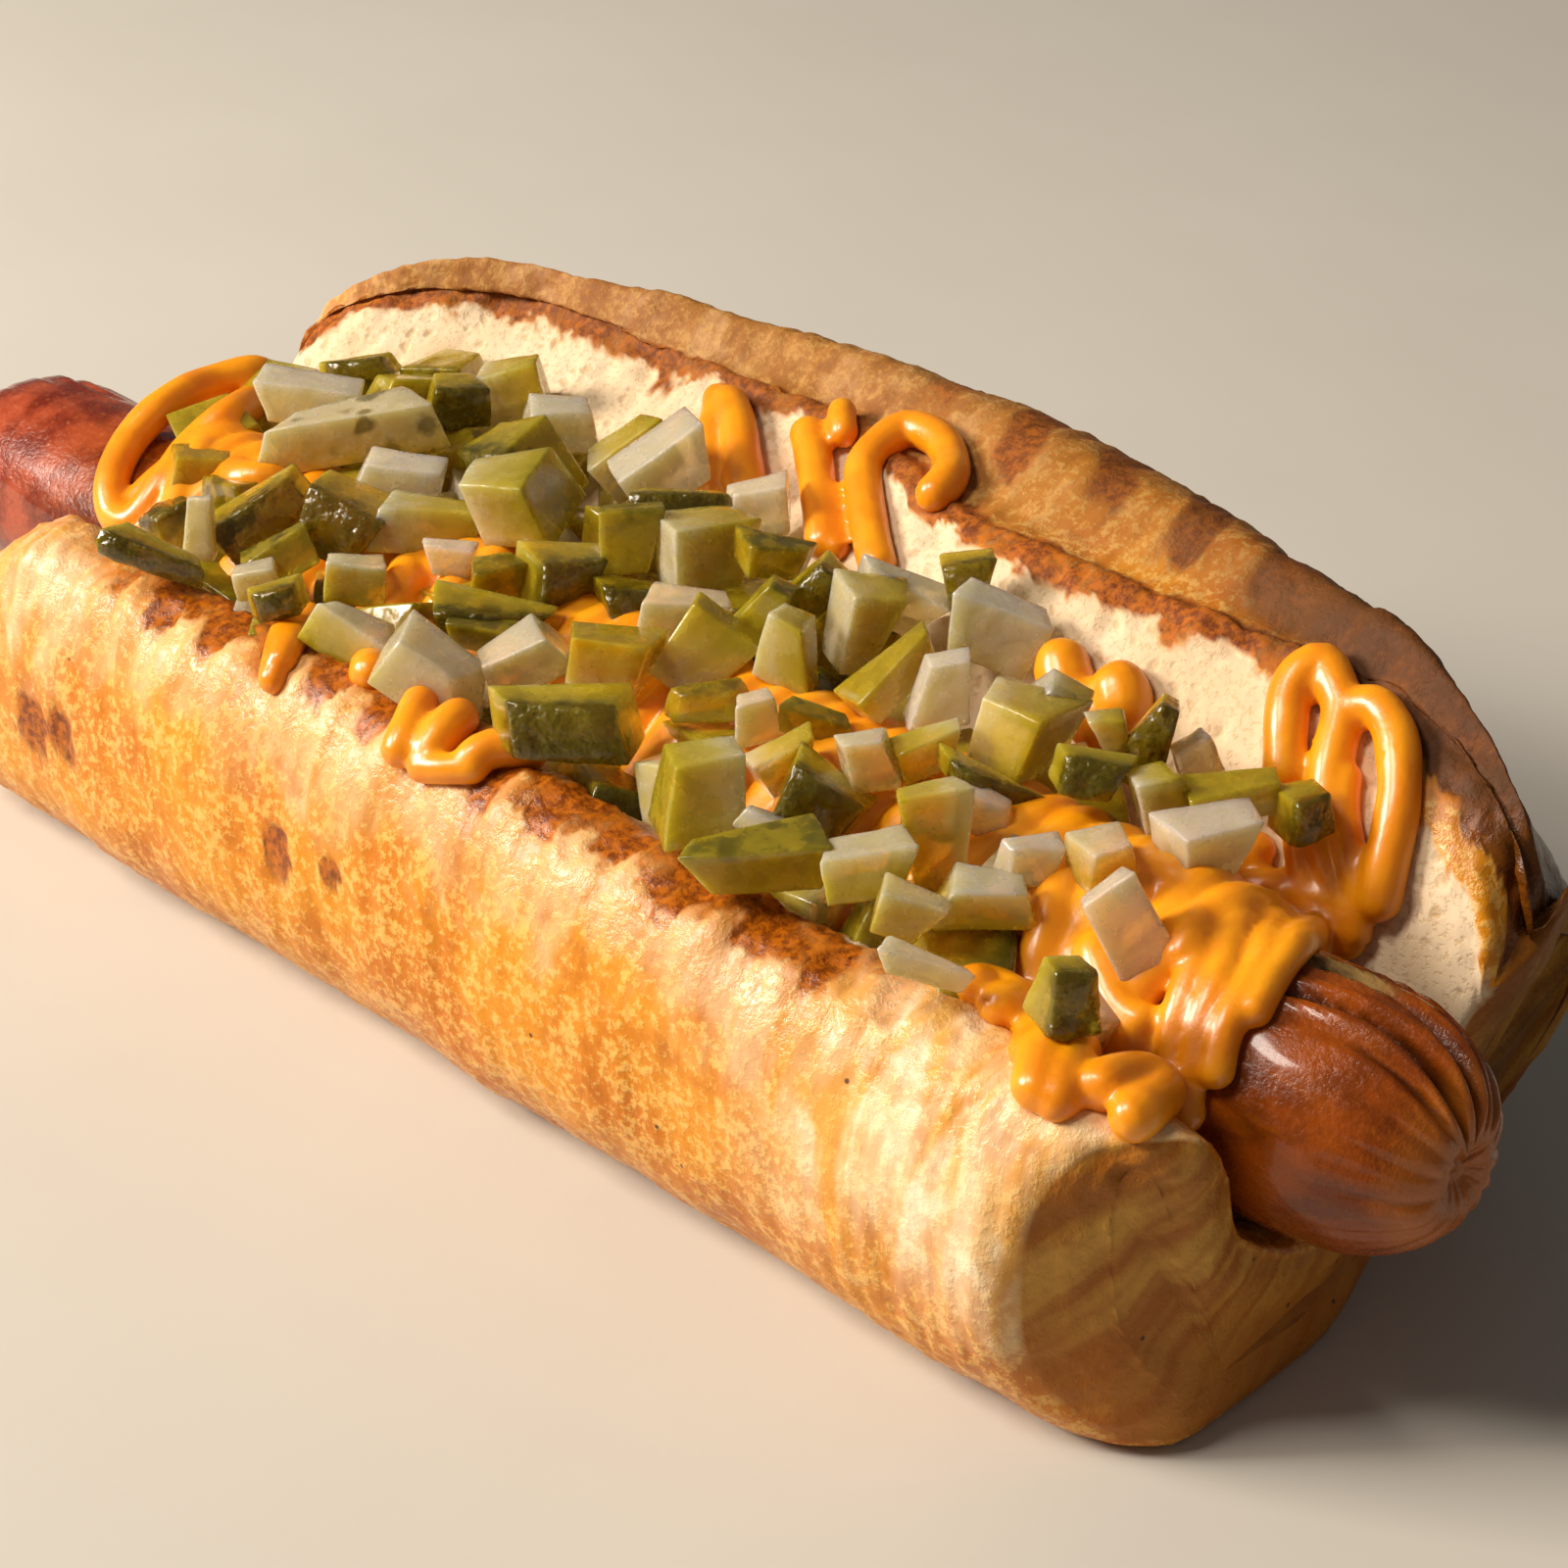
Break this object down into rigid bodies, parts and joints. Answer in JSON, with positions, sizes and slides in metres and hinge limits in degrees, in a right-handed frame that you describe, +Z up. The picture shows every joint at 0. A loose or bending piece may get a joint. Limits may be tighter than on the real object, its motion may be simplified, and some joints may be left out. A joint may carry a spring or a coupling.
{
  "type": "hot dog",
  "caption": "Hot dog: a long grilled sausage in a toasted bun cut open along its top, with a zigzag of mustard and a heap of diced pickles.",
  "frame": {"origin": "centre of the overall footprint, on the surface the bun stands on", "axes": "+X along the sausage, -Y towards the low wall of the bun, +Y towards its high wall, +Z up"},
  "size_m": [0.216, 0.093, 0.0547],
  "materials": {
    "bun": "satin",
    "sausage": "gloss",
    "mustard": "gloss",
    "pickles": "gloss"
  },
  "bodies": {
    "root": {"bun": "bun", "sausage": "sausage", "mustard": "mustard", "pickles": "pickles"}
  },
  "joints": []
}
